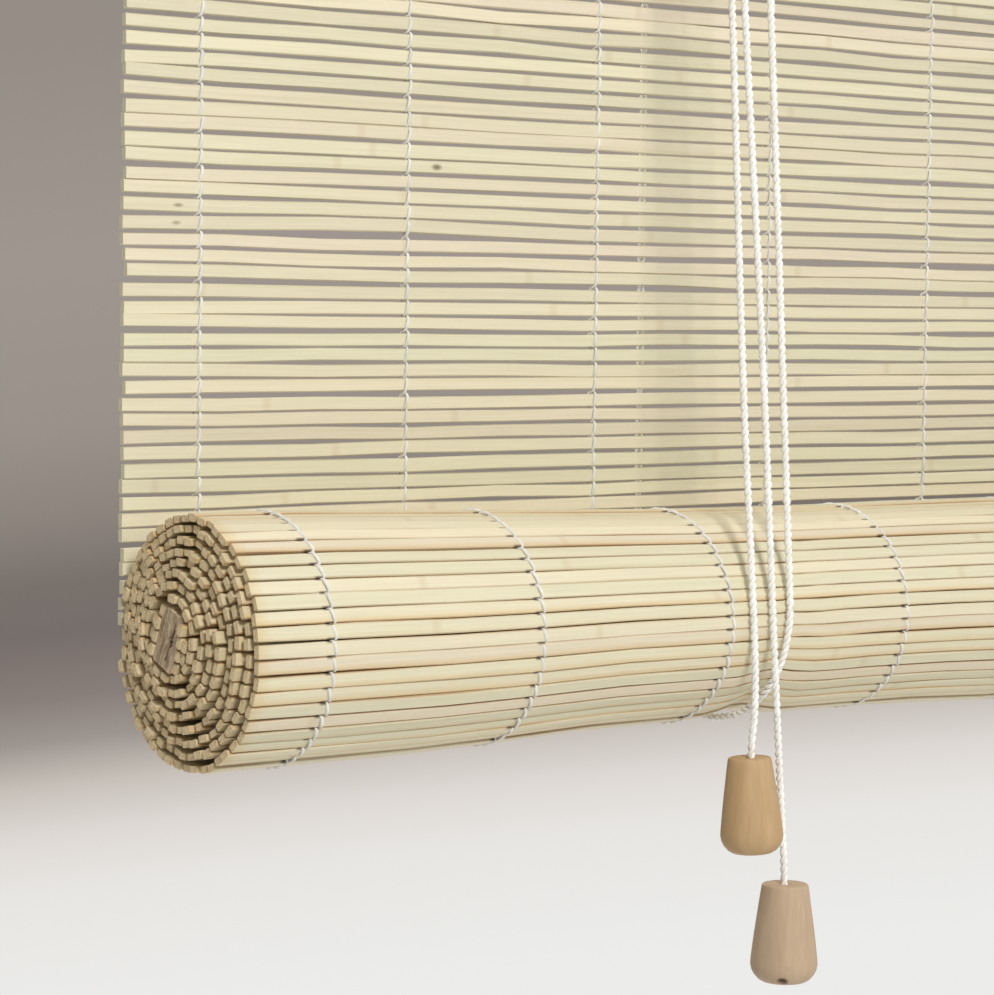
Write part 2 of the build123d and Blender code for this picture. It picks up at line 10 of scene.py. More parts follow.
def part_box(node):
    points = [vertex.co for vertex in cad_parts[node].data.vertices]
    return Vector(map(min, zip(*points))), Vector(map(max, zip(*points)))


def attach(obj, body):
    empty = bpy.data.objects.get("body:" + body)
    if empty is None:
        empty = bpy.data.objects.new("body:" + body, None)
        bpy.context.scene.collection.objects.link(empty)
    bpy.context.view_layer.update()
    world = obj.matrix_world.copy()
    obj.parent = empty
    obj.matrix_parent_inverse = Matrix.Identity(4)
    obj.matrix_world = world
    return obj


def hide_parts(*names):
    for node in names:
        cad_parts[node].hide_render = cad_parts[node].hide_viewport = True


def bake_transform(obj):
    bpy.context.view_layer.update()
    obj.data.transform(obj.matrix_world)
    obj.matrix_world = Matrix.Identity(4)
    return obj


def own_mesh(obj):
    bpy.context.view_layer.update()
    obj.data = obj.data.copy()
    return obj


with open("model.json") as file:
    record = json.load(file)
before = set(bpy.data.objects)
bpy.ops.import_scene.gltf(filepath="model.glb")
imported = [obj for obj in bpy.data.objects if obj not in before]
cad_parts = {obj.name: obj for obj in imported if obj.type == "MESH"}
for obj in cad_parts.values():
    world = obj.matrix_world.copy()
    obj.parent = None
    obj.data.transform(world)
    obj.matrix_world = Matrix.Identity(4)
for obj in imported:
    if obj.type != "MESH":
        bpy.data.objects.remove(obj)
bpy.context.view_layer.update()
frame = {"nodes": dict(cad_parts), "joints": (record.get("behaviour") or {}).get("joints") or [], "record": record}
mm = 0.001
nodes = frame["nodes"]
joints = {joint["name"]: joint for joint in frame["joints"]}
rollAxis = Vector(joints["roll_turn"]["pos_m"])
matLow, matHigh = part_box("slat_mat")
matMiddleY = (matLow.y + matHigh.y) / 2
blindWidth = matHigh.x - matLow.x
bothSides = ("near", "far")
print("frame loaded,", len(nodes), "nodes")


# a colour written in screen values, 0 to 255
def paint(*levels):
    shares = [level / 255 for level in levels]
    return (*[s / 12.92 if s <= 0.04045 else ((s + 0.055) / 1.055) ** 2.4 for s in shares], 1.0)


def middleOf(node):
    low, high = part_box(node)
    return [(low[i] + high[i]) / 2 for i in range(3)]


def turnAbout(axis, angle):
    return Matrix.Rotation(math.radians(angle), 4, axis)


# 0 at low, 1 at high, and smooth between them
def ease(value, low, high):
    share = np.clip((value - low) / (high - low), 0, 1)
    return share * share * (3 - 2 * share)


def pickOnly(*pieces):
    bpy.ops.object.select_all(action="DESELECT")
    for piece in pieces:
        piece.select_set(True)
    bpy.context.view_layer.objects.active = pieces[0]


def choose(piece, kind, wanted):
    bpy.ops.mesh.select_mode(type=kind)
    bpy.ops.mesh.select_all(action="DESELECT")
    cage = bmesh.from_edit_mesh(piece.data)
    for item in cage.edges if kind == "EDGE" else cage.faces:
        if wanted(item):
            item.select_set(True)
    bmesh.update_edit_mesh(piece.data)


def readPoints(mesh):
    flat = np.empty(len(mesh.vertices) * 3)
    mesh.vertices.foreach_get("co", flat)
    return flat.reshape(-1, 3)


def movePoints(piece, points):
    piece.data.vertices.foreach_set("co", points.ravel())
    piece.data.update()


def joinPieces(pieces, name):
    pickOnly(*pieces)
    bpy.ops.object.join()
    joined = bpy.context.object
    joined.name = name
    joined.data.name = name
    return joined


def smoothTo(piece, angle):
    pickOnly(piece)
    bpy.ops.object.shade_smooth_by_angle(angle=math.radians(angle))


def dress(piece, material):
    piece.data.materials.clear()
    piece.data.materials.append(material)


# the body that a piece rides on and the node that it replaces
def seat(piece, body, node):
    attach(piece, body)
    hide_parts(node)


# pieces that hang from the head get a mesh of their own
def shorten(piece):
    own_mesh(piece)


# camera at the photo's place, found from the roll, the threads and the mat's edge
camera = {
    "place": (-0.95568, -0.82869, -0.51160), "yaw": 38.155, "pitch": -3.418, "roll": 0.714,
    "lens": 116.51, "sensor": 36, "clip": (0.05, 60),
}


def makeCamera():
    bpy.ops.object.camera_add()
    viewer = bpy.context.object
    viewer.name = "photoCamera"
    turn = turnAbout("Z", -camera["yaw"]) @ turnAbout("X", 90 + camera["pitch"])
    turn = turn @ turnAbout("Z", camera["roll"])
    viewer.matrix_world = Matrix.Translation(camera["place"]) @ turn
    viewer.data.sensor_fit = "HORIZONTAL"
    viewer.data.sensor_width = camera["sensor"]
    viewer.data.lens = camera["lens"]
    viewer.data.clip_start, viewer.data.clip_end = camera["clip"]
    bpy.context.scene.camera = viewer


makeCamera()
print("camera set")


# small helpers for shader nodes, which go to the tree that was opened last
opened = {}


def feed(node, inputs):
    for key, value in inputs.items():
        if isinstance(value, bpy.types.NodeSocket):
            opened["tree"].links.new(value, node.inputs[key])
        else:
            node.inputs[key].default_value = value
    return node


def addNode(kind, inputs=None, **settings):
    node = opened["tree"].nodes.new("ShaderNode" + kind)
    for key, value in settings.items():
        setattr(node, key, value)
    return feed(node, inputs or {})


def mix(factor, first, second, blend="MIX"):
    inputs = {0: factor, 6: first, 7: second}
    return addNode("Mix", inputs, data_type="RGBA", blend_type=blend).outputs[2]


def doMath(operation, first, second=0.0, third=0.0):
    return addNode("Math", {0: first, 1: second, 2: third}, operation=operation).outputs[0]


def times(first, second):
    return doMath("MULTIPLY", first, second)


def apart(first, second=0.0):
    return doMath("ABSOLUTE", doMath("SUBTRACT", first, second))


def vecMath(operation, first, second=(0.0, 0.0, 0.0)):
    node = addNode("VectorMath", {0: first, 1: second}, operation=operation)
    single = operation in ("LENGTH", "DISTANCE", "DOT_PRODUCT")
    return node.outputs["Value" if single else "Vector"]


def noise(vector, scale, detail, roughness=0.5):
    inputs = {"Vector": vector, "Scale": scale, "Detail": detail, "Roughness": roughness}
    return addNode("TexNoise", inputs).outputs[0]


def fit(value, low, high, newLow=0.0, newHigh=1.0):
    inputs = {0: value, 1: low, 2: high, 3: newLow, 4: newHigh}
    return addNode("MapRange", inputs).outputs[0]


def ramp(value, stops):
    node = addNode("ValToRGB", {0: value})
    while len(node.color_ramp.elements) < len(stops):
        node.color_ramp.elements.new(0.5)
    for element, (place, colour) in zip(node.color_ramp.elements, stops):
        element.position = place
        element.color = colour
    return node.outputs[0]


def shade(colour, level):
    grey = addNode("CombineColor", {0: level, 1: level, 2: level}).outputs[0]
    return mix(1.0, colour, grey, "MULTIPLY")


def bump(height, strength, distance):
    inputs = {"Height": height, "Strength": strength, "Distance": distance}
    return addNode("Bump", inputs).outputs[0]


def coords():
    return addNode("TexCoord").outputs["Object"]


def turnedCoords(turn):
    return addNode("Mapping", {"Vector": coords(), "Rotation": turn}).outputs[0]


# a node group with a vector and some values in, and the values that its build gives out
def makeGroup(name, values, build):
    tree = opened["tree"] = bpy.data.node_groups.new(name, "ShaderNodeTree")
    tree.interface.new_socket("Vector", in_out="INPUT", socket_type="NodeSocketVector")
    for label, value in values.items():
        socket = tree.interface.new_socket(label, in_out="INPUT", socket_type="NodeSocketFloat")
        socket.default_value = value
    results = build(tree.nodes.new("NodeGroupInput").outputs)
    for label in results:
        tree.interface.new_socket(label, in_out="OUTPUT", socket_type="NodeSocketFloat")
    feed(tree.nodes.new("NodeGroupOutput"), results)
    return tree


# wood fibre: long streaks and fine lines along the first axis of the vector
def fibreNodes(given):
    stretch = addNode("CombineXYZ", {0: given["Along"], 1: given["Across"], 2: given["Across"]})
    scaled = vecMath("MULTIPLY", given["Vector"], stretch.outputs[0])
    return {"Streak": noise(scaled, 1.0, 3.0, 0.55), "Fine": noise(scaled, 4.0, 4.0, 0.7)}


# yarn fuzz: fine uneven fibre on threads and cords
def fuzzNodes(given):
    return {"Tone": noise(given["Vector"], 160.0, 3.0, 0.6),
            "Height": noise(given["Vector"], given["Scale"], 3.0)}


# handling marks on metal: cloudy tone and fine scratches
def scuffNodes(given):
    scratched = vecMath("MULTIPLY", given["Vector"], (60.0, 900.0, 1600.0))
    return {"Cloud": noise(given["Vector"], given["Scale"], 5.0, 0.65),
            "Scratch": noise(scratched, 1.0, 3.0)}


fibreGroup = makeGroup("woodFibre", {"Along": 8.0, "Across": 300.0}, fibreNodes)
fuzzGroup = makeGroup("yarnFuzz", {"Scale": 2500.0}, fuzzNodes)
scuffGroup = makeGroup("metalScuff", {"Scale": 300.0}, scuffNodes)


def useGroup(group, inputs):
    return addNode("Group", inputs, node_tree=group).outputs


def startMaterial(name, **constants):
    material = bpy.data.materials.new(name)
    material.use_nodes = True
    opened["tree"] = material.node_tree
    shader = material.node_tree.nodes["Principled BSDF"]
    for key, value in constants.items():
        shader.inputs[key.replace("_", " ")].default_value = value
    return material, shader


slat = {"width": 3.6 * mm, "thickness": 2.0 * mm, "roundedEdge": 0.32 * mm, "smooth": 30}


# split bamboo: each slat's own tone and hue, long streaks, joints of the cane, a few dark knots
bamboo = {
    "green": paint(228, 224, 192), "cream": paint(235, 226, 196), "pink": paint(236, 221, 198),
    "skin": paint(216, 206, 164), "joint": paint(200, 178, 136), "edge": paint(150, 136, 94),
    "tan": paint(222, 190, 134), "russet": paint(186, 142, 94), "threadGapShade": paint(84, 64, 42),
    "knot": paint(112, 96, 56), "endLight": paint(252, 232, 190), "endDark": paint(228, 200, 152),
    "endRim": paint(116, 88, 52), "endPale": paint(232, 222, 192),
    # dark marks on the flat mat: x, z, reach along the slat and across it in mm, strength
    "knots": [
        (-0.3380, -0.4683, 2.6, 1.2, 0.8), (-0.4348, -0.4837, 2.3, 0.7, 0.6),
        (-0.4354, -0.4885, 2.1, 0.7, 0.5)],
    # each slat's light and hue: middle, spread and limits
    "lights": (0.55, 0.17, 0.0, 1.0), "hues": (0.48, 0.17, 0.0, 1.0),
    "rowStep": 0.01, "jointSpacing": 0.33, "jointShift": 7.3, "patches": (14.0, 160.0, 0.0),
    "grain": {"Along": 7.0, "Across": 420.0}, "pores": 1700.0,
    # how far the browner ends of the roll and the painted shade beside its threads reach
    "tips": (6.0 * mm, 1.0 * mm), "threadGapShades": (3.4 * mm, 2.2 * mm),
}


def bambooMaterial():
    material, shader = startMaterial("splitBamboo", Roughness=0.5, Specular_IOR_Level=0.35)
    wide, rowStep = slat["width"], bamboo["rowStep"]
    along = addNode("UVMap", uv_map="slatUV").outputs[0]
    tint = addNode("Attribute", attribute_name="slatTint").outputs
    part = addNode("SeparateColor", {0: tint["Color"]}).outputs
    fibre = useGroup(fibreGroup, {"Vector": along, **bamboo["grain"]})
    hues = [(0.0, bamboo["green"]), (0.5, bamboo["cream"]), (1.0, bamboo["pink"])]
    colour = ramp(part[1], hues)

    def cover(factor, tone):
        nonlocal colour
        colour = mix(factor, colour, bamboo[tone])

    cover(fit(fibre["Streak"], 0.56, 0.7, 0.0, 0.42), "skin")
    # a joint of the cane crosses each slat here and there
    place = addNode("SeparateXYZ", {0: along}).outputs
    offset = doMath("DIVIDE", place[0], bamboo["jointSpacing"])
    offset = doMath("MULTIPLY_ADD", part[2], bamboo["jointShift"], offset)
    edge = apart(doMath("FRACT", offset), 0.5)
    cover(fit(edge, 0.002, 0.007, 0.2, 0.0), "joint")
    for x, z, reach, half, strength in bamboo["knots"]:
        row = int((matHigh.z - z) / flatPitch)
        away = vecMath("SUBTRACT", along, (x, row * rowStep + wide / 2, 0.0))
        away = vecMath("MULTIPLY", away, (1 / (reach * mm), 1 / (half * mm), 0.0))
        cover(fit(vecMath("LENGTH", away), 0.3, 1.0, strength, 0.0), "knot")
    # painted shade: rolled slats are tan on their lower side, where less light falls
    across = doMath("MODULO", place[1], rowStep)
    rolled = fit(place[1], (flatRows - 0.2) * rowStep, flatRows * rowStep)
    lower = times(fit(across, 0.5 * wide, 0.95 * wide, 0.0, 0.7), rolled)
    cover(times(lower, fit(part[2], 0.3, 0.9)), "tan")
    # split edges are browner in patches: partly their own colour, partly painted shade in the gaps
    rim = apart(across, wide / 2)
    edges = mix(rolled, bamboo["edge"], bamboo["russet"])
    patchy = noise(vecMath("MULTIPLY", along, bamboo["patches"]), 1.0, 2.0)
    edgeStainAndShade = fit(patchy, 0.36, 0.64, 0.1, 0.72)
    edgeStainAndShade = times(edgeStainAndShade, fit(rim, 0.4 * wide, 0.5 * wide))
    colour = mix(edgeStainAndShade, colour, edges)
    # slats of the roll are a little browner near the ends of the roll
    reaches = [blindWidth / 2 - reach for reach in bamboo["tips"]]
    tip = fit(doMath("ABSOLUTE", place[0]), *reaches, 0.0, 0.45)
    cover(times(tip, rolled), "tan")
    # painted shade in the gaps beside the threads of the roll, where the threads part the slats
    beside = doMath("SUBTRACT", place[0], threadPlaces[0])
    beside = doMath("FRACT", doMath("DIVIDE", beside, threadStep))
    threadGapShade = fit(beside, *[1 - reach / threadStep for reach in bamboo["threadGapShades"]])
    threadGapShade = times(threadGapShade, fit(rim, 0.34 * wide, 0.48 * wide, 0.0, 0.85))
    cover(times(threadGapShade, rolled), "threadGapShade")
    level = fit(part[0], 0.0, 1.0, 0.82, 0.98)
    level = doMath("ADD", level, fit(fibre["Fine"], 0.3, 0.7, -0.06, 0.05))
    colour = shade(colour, level)
    # cut ends show pores and a dark rim
    pores = fit(noise(coords(), bamboo["pores"], 2.0), 0.35, 0.65)
    cut = mix(pores, bamboo["endDark"], bamboo["endLight"])
    cut = mix(fit(rim, 0.36 * wide, 0.5 * wide, 0.0, 0.6), cut, bamboo["endRim"])
    cut = mix(rolled, bamboo["endPale"], cut)
    feed(shader, {
        "Base Color": mix(tint["Alpha"], colour, cut),
        "Roughness": fit(fibre["Fine"], 0.2, 0.8, 0.42, 0.62),
        "Normal": bump(fibre["Fine"], 0.35, 0.12 * mm)})
    return material


# thin yarn lets some light through
def yarnMaterial(name, dark, pale, scale, through=0.2):
    material, shader = startMaterial(
        name, Roughness=0.85, Specular_IOR_Level=0.2, Sheen_Weight=0.15, Subsurface_Weight=through,
        Subsurface_Scale=3 * mm * through, Subsurface_Radius=(1.0, 0.97, 0.9))
    fuzz = useGroup(fuzzGroup, {"Vector": coords(), "Scale": scale})
    feed(shader, {
        "Base Color": mix(fit(fuzz["Tone"], 0.3, 0.7), dark, pale),
        "Normal": bump(fuzz["Height"], 0.5, 0.12 * mm)})
    return material


# plain wood: grain along x, or along z when upright
def woodMaterial(name, light, dark, along, across, upright=False, spots=(), lines=0.11):
    material, shader = startMaterial(name, Roughness=0.6, Specular_IOR_Level=0.3)
    grain = turnedCoords((0.0, math.pi / 2, 0.0)) if upright else coords()
    fibre = useGroup(fibreGroup, {"Vector": grain, "Along": along, "Across": across})
    colour = mix(fit(fibre["Streak"], 0.32, 0.68), dark, light)
    colour = shade(colour, fit(fibre["Fine"], 0.3, 0.7, 0.97 - lines, 0.97 + lines))
    for centre, reach, tone in spots:
        away = vecMath("DISTANCE", coords(), centre)
        colour = mix(fit(away, 0.45 * reach, reach, 0.8, 0.0), colour, tone)
    feed(shader, {
        "Base Color": colour, "Roughness": fit(fibre["Fine"], 0.2, 0.8, 0.5, 0.7),
        "Normal": bump(fibre["Fine"], 0.4, 0.15 * mm)})
    return material


def metalMaterial(name, bright, dull, rough, scale):
    material, shader = startMaterial(name, Metallic=1.0)
    scuff = useGroup(scuffGroup, {"Vector": coords(), "Scale": scale})
    scratch = scuff["Scratch"]
    feed(shader, {
        "Base Color": mix(fit(scuff["Cloud"], 0.3, 0.7), dull, bright),
        "Roughness": fit(scratch, 0.3, 0.7, rough - 0.1, rough + 0.12),
        "Normal": bump(scratch, 0.15, 0.05 * mm)})
    return material


cordYarn = yarnMaterial("cordYarn", paint(238, 236, 230), paint(255, 254, 251), 2600.0)
# strands behind the mat: more translucent, with a paler tone that is painted light in the mat's shade
rearYarn = yarnMaterial("rearYarn", paint(244, 242, 236), paint(255, 254, 251), 2600.0, 1.0)
warpYarn = yarnMaterial("warpYarn", paint(216, 214, 208), paint(240, 238, 233), 3200.0)
print("materials started")


# the lift cord: two strands laid into a rope
rope = {"radius": 1.3 * mm, "lay": 5.4 * mm, "strands": 2, "strandShare": 0.53, "step": 0.6 * mm,
        "fine": 900}


def readRoute(route):
    curve = bpy.data.curves.new("route", "CURVE")
    curve.dimensions = "3D"
    spline = curve.splines.new("NURBS")
    spline.points.add(len(route) - 1)
    for point, place in zip(spline.points, route):
        point.co = (*place, 1.0)
    spline.order_u = 3
    spline.use_endpoint_u = True
    spline.resolution_u = rope["fine"]
    holder = bpy.data.objects.new("route", curve)
    mesh = bpy.data.meshes.new_from_object(holder)
    line = readPoints(mesh)
    bpy.data.objects.remove(holder)
    bpy.data.curves.remove(curve)
    bpy.data.meshes.remove(mesh)
    # keep the points that are a step apart
    kept = [line[0]]
    for point in line[1:]:
        if np.linalg.norm(point - kept[-1]) >= rope["step"]:
            kept.append(point)
    if np.linalg.norm(line[-1] - kept[-1]) > 0.1 * rope["step"]:
        kept.append(line[-1])
    return np.array(kept)


def stepLengths(line):
    return np.linalg.norm(np.diff(line, axis=0), axis=1)


def layStrands(line):
    travel = np.concatenate([[0.0], np.cumsum(stepLengths(line))])
    heading = np.gradient(line, axis=0)
    heading /= np.linalg.norm(heading, axis=1)[:, None]
    alongX = abs(heading[0][0]) >= 0.8
    side = np.cross(heading[0], (0.0, 0.0, 1.0) if alongX else (1.0, 0.0, 0.0))
    sides = []
    for ahead in heading:
        side = side - ahead * (side @ ahead)
        side = side / np.linalg.norm(side)
        sides.append(side)
    sides = np.array(sides)
    ups = np.cross(heading, sides)
    strandRadius = rope["strandShare"] * rope["radius"]
    spread = rope["radius"] - strandRadius
    strands = []
    for i in range(rope["strands"]):
        angle = 2 * math.pi * (travel / rope["lay"] + i / rope["strands"])
        away = np.cos(angle)[:, None] * sides + np.sin(angle)[:, None] * ups
        strands.append(line + spread * away)
    return strands, strandRadius


def tubesToMesh(name, paths, radius, material, sides=1, cyclic=False):
    curve = bpy.data.curves.new(name, "CURVE")
    curve.dimensions = "3D"
    curve.bevel_depth = radius
    curve.bevel_resolution = sides
    curve.use_fill_caps = True
    for path in paths:
        spline = curve.splines.new("POLY")
        spline.points.add(len(path) - 1)
        weighted = np.column_stack([path, np.ones(len(path))])
        spline.points.foreach_set("co", weighted.ravel())
        spline.use_cyclic_u = cyclic
        spline.use_smooth = True
    piece = bpy.data.objects.new(name, curve)
    bpy.context.collection.objects.link(piece)
    pickOnly(piece)
    bpy.ops.object.convert(target="MESH")
    piece = bpy.context.object
    piece.data.name = name
    dress(piece, material)
    return piece


def layCord(name, route, body, node, yarn=cordYarn):
    strands, strandRadius = layStrands(readRoute(route))
    piece = tubesToMesh(name, strands, strandRadius, yarn)
    seat(piece, body, node)
    return piece


# a straight strand runs from the upper rear corner of its node's box to the lower front one
def strandEnds(node):
    low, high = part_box(node)
    x = (low.x + high.x) / 2
    return Vector((x, high.y - rope["radius"], high.z)), Vector((x, low.y + rope["radius"], low.z))


# a round turn as shares of its radius, and how deep a loop lies in the groove under the roll
roundTurn = [(1.0, 0.0), (1.0, 0.414), (0.414, 1.0), (-0.414, 1.0), (-1.0, 0.414), (-1.0, 0.0)]
grooveDepths = (0.6 * mm, 1.5 * mm, 1.5 * mm, 0.6 * mm)
wheelRadius = 6.8 * mm


def makeLoop(side):
    ends = []
    for run, yarn in (("front", cordYarn), ("rear", rearYarn)):
        node = f"{run}_strand_{side}"
        top, end = strandEnds(node)
        route = [top, (top + end) / 2, end]
        piece = layCord(f"{run}Strand{side.title()}", route, "head", node, yarn)
        shorten(piece)
        ends.append(end)
    node = f"cord_bight_{side}"
    radius = rollAxis.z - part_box(node)[0].z - rope["radius"]
    under = []
    for (forward, down), depth in zip(roundTurn[1:-1], grooveDepths):
        reach = radius - depth
        under.append((top.x, rollAxis.y - forward * reach, rollAxis.z - down * reach))
    layCord(f"cordBight{side.title()}", [ends[0], *under, ends[1]], "lift_loops", node)


def overWheel(x, y, z, shares):
    return [(x + along * wheelRadius, y, z + up * wheelRadius) for along, up in shares]


def makeHeadCords():
    x, y = middleOf("near_wheel_cord")[:2]
    inset = rope["radius"] + wheelRadius
    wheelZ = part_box("near_wheel_cord")[1].z - inset
    layCord("nearWheelCord", overWheel(x, y, wheelZ, roundTurn), "head", "near_wheel_cord")
    low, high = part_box("cross_cord")
    y = (low.y + high.y) / 2
    route = overWheel(high.x - inset, y, wheelZ, roundTurn[:3])
    route += overWheel(low.x + inset, y, wheelZ, roundTurn[3:])
    layCord("crossCord", route, "head", "cross_cord")


for side in bothSides:
    makeLoop(side)
makeHeadCords()
print("lift loops laid")


# lines of warp threads tie the slats; a thread's middle lies off a slat by a share of its radius
threads = {"count": 12, "inset": 27.0 * mm, "radius": 0.55 * mm, "offShare": 0.75,
           "lean": 0.7 * mm, "drift": 0.12 * mm, "flatSeed": 23, "rollSeed": 31}
threadStep = (blindWidth - 2 * threads["inset"]) / (threads["count"] - 1)
threadPlaces = [matLow.x + threads["inset"] + k * threadStep for k in range(threads["count"])]
threadReach = slat["thickness"] / 2 + threads["offShare"] * threads["radius"]
# where a slat can bend: closer together in its left part, and beside the loops on the outer turn
slatStations = np.concatenate([np.linspace(matLow.x, -0.1, 11),
                               np.linspace(-0.1, matHigh.x, 8)[1:]])
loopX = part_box("cord_bight_far")[0].x + rope["radius"]
loopSteps = np.array([-26, -16, -9, -3, 3, 9, 16, 26]) * mm
loopClear = 32 * mm
outerStations = np.array([x for x in slatStations if abs(abs(x) - loopX) > loopClear])
outerStations = np.concatenate([outerStations, loopX + loopSteps, -loopX + loopSteps])
outerStations = np.sort(outerStations)
innerStations = np.array([matLow.x, -0.385, -0.315, -0.2485, -0.115, 0.0, 0.115, 0.2485, 0.315,
                          0.385, matHigh.x])


# bamboo slats: one blank each for the flat mat, the outer turn and the inner turns
def makeSlatBlank(stations, allRound):
    bpy.ops.mesh.primitive_cube_add(size=1.0)
    blank = bpy.context.object
    mesh = blank.data
    blank.scale = (blindWidth, slat["thickness"], slat["width"])
    bpy.ops.object.transform_apply(location=False, rotation=False, scale=True)
    bpy.ops.object.mode_set(mode="EDIT")

    def runsAlong(edge):
        return abs(edge.verts[0].co.x - edge.verts[1].co.x) > blindWidth / 2

    choose(blank, "EDGE", lambda edge: runsAlong(edge) and (allRound or edge.verts[0].co.y < 0))
    bpy.ops.mesh.bevel(offset=slat["roundedEdge"], segments=1, affect="EDGES")
    choose(blank, "EDGE", runsAlong)
    bpy.ops.mesh.subdivide(number_cuts=len(stations) - 2)
    bpy.ops.object.mode_set(mode="OBJECT")
    mesh.color_attributes.new(name="slatTint", type="FLOAT_COLOR", domain="CORNER")
    for layer in list(mesh.uv_layers):
        mesh.uv_layers.remove(layer)
    mesh.uv_layers.new(name="slatUV")
    # a copy needs its corners' points, which corners lie on the cut ends, and its points' stations
    corners = np.empty(len(mesh.loops), dtype=np.int32)
    mesh.loops.foreach_get("vertex_index", corners)
    ends = np.zeros(len(mesh.loops))
    for face in mesh.polygons:
        if abs(face.normal.x) > 0.9:
            ends[face.loop_indices] = 1.0
    points = readPoints(mesh)
    station = np.rint((points[:, 0] / blindWidth + 0.5) * (len(stations) - 1)).astype(int)
    return {"blank": blank, "corners": corners, "ends": ends, "shape": (points, station, stations)}


def copySlat(source, name, points, tint, row):
    piece = source["blank"].copy()
    piece.data = source["blank"].data.copy()
    piece.name = name
    bpy.context.collection.objects.link(piece)
    corners = source["corners"]
    colours = np.column_stack([np.tile(tint, (len(corners), 1)), source["ends"]])
    piece.data.color_attributes["slatTint"].data.foreach_set("color", colours.ravel())
    across = source["shape"][0][corners][:, 2] + slat["width"] / 2
    places = np.column_stack([points[corners][:, 0], row * bamboo["rowStep"] + across])
    piece.data.uv_layers["slatUV"].data.foreach_set("uv", places.ravel())
    movePoints(piece, points)
    return piece


# a chance amount for a whole slat and another for each of its stations
def waver(chance, amounts, count, more=1.0):
    return chance.normal(0, amounts[0] * more) + chance.normal(0, amounts[1], count)


def between(chance, middle, spread, low, high):
    return np.clip(chance.normal(middle, spread), low, high)


def slatTone(chance):
    light = between(chance, *bamboo["lights"])
    hue = between(chance, *bamboo["hues"])
    return [light, hue, chance.random_sample()]


# flat part of the mat
mat = {
    "pitch": 4.94 * mm, "gap": 1.34 * mm, "seed": 7,
    # how far slats stray up and down: each slat and its stations, every second station, its ends
    "stray": (0.216 * mm, 0.2 * mm), "bend": 0.18 * mm, "endStray": 0.36 * mm, "limit": 0.55 * mm,
    "outOfPlane": 0.15 * mm, "ragged": 0.5 * mm,
    "wide": 1.13, "wideStray": (0.06, 0.03), "wideLimits": (0.9, 1.24),
    # slats that lean to or away from their neighbours: row, x, reach along x, shift in z in mm
    "strays": [
        (86, -0.454, 0.03, -0.4), (87, -0.454, 0.03, 0.8), (91, -0.454, 0.03, -0.3),
        (92, -0.454, 0.03, 0.9), (97, -0.454, 0.03, -0.8), (98, -0.454, 0.03, 0.3),
        (101, -0.454, 0.03, -0.9), (102, -0.454, 0.03, 0.2), (112, -0.454, 0.03, 0.8),
        (95, -0.365, 0.05, 0.2), (96, -0.365, 0.055, 1.2), (97, -0.365, 0.05, -0.2),
        (91, -0.14, 0.06, 0.6), (92, -0.14, 0.06, -0.6), (97, -0.135, 0.06, 0.5),
        (98, -0.135, 0.06, -0.4), (103, -0.2, 0.05, 0.6), (107, -0.3, 0.06, -0.5),
        (108, -0.3, 0.06, 0.3)],
}
flatRows = round((matHigh.z - matLow.z + mat["gap"]) / mat["pitch"])
flatPitch = (matHigh.z - matLow.z + mat["gap"]) / flatRows
bambooSkin = bambooMaterial()


def joinSlats(pieces, name):
    joined = joinPieces(pieces, name)
    dress(joined, bambooSkin)
    smoothTo(joined, slat["smooth"])
    return joined


def makeFlatSlats(source):
    chance = np.random.RandomState(mat["seed"])
    base, station, stations = source["shape"]
    count = len(stations)
    pieces = []
    for row in range(flatRows):
        z = matHigh.z - row * flatPitch - slat["width"] / 2
        wander = waver(chance, mat["stray"], count)
        wander[1::2] += chance.normal(0, mat["bend"], len(wander[1::2]))
        wander[0] = wander[1] + chance.normal(0, mat["endStray"])
        wander[-1] = wander[-2] + chance.normal(0, mat["endStray"])
        wander = np.clip(wander, -mat["limit"], mat["limit"])
        for strayRow, strayX, reach, shift in mat["strays"]:
            if row == strayRow:
                wander += shift * mm * np.exp(-((stations - strayX) / reach) ** 2)
        outward = chance.normal(0, mat["outOfPlane"], count)
        widths = mat["wide"] + waver(chance, mat["wideStray"], count)
        widths = np.clip(widths, *mat["wideLimits"])
        ends = stations.copy()
        ends[0] += abs(chance.normal(0, mat["ragged"]))
        ends[-1] -= abs(chance.normal(0, mat["ragged"]))
        points = np.column_stack([ends[station], matMiddleY + base[:, 1] + outward[station],
                                  z + wander[station] + base[:, 2] * widths[station]])
        pieces.append(copySlat(source, f"flatSlat{row}", points, slatTone(chance), row))
    return joinSlats(pieces, "flatSlats")


# twined warp threads: two strands cross in every gap, one in front of each slat and one behind;
# their places along a slat's row, out from it and sideways
crossing = [(-0.5, 0.0, 1.0), (-0.34, 0.9, 0.55), (0.0, 1.0, 0.0), (0.34, 0.9, -0.55)]


def twinePath(x, rows, strand, placeAt, chance):
    path = []
    for row in range(rows):
        face = 1 if (row + strand) % 2 else -1
        drift = chance.normal(0, threads["drift"])
        for along, out, lean in crossing:
            aside = x + drift + face * lean * threads["lean"]
            path.append(placeAt(row + 0.5 + along, aside, face * out))
    return np.array(path)


def makeThreads(name, rows, placeAt, seed, sides):
    chance = np.random.RandomState(seed)
    lines = [(x, strand) for x in threadPlaces for strand in (0, 1)]
    paths = [twinePath(x, rows, strand, placeAt, chance) for x, strand in lines]
    return tubesToMesh(name, paths, threads["radius"], warpYarn, sides)


def flatThreadAt(rows, x, out):
    z = matHigh.z + mat["gap"] / 2 - rows * flatPitch
    return (x, matMiddleY - out * threadReach, z)


flatBlank = makeSlatBlank(slatStations, False)
outerBlank = makeSlatBlank(outerStations, True)
innerBlank = makeSlatBlank(innerStations, True)
flatSlats = makeFlatSlats(flatBlank)
flatThreads = makeThreads("flatThreads", flatRows, flatThreadAt, threads["flatSeed"], 0)
seat(flatSlats, "head", "slat_mat")
seat(flatThreads, "head", "mat_warp_threads")
for piece in (flatSlats, flatThreads):
    shorten(piece)
print("flat mat laid,", flatRows, "slats")


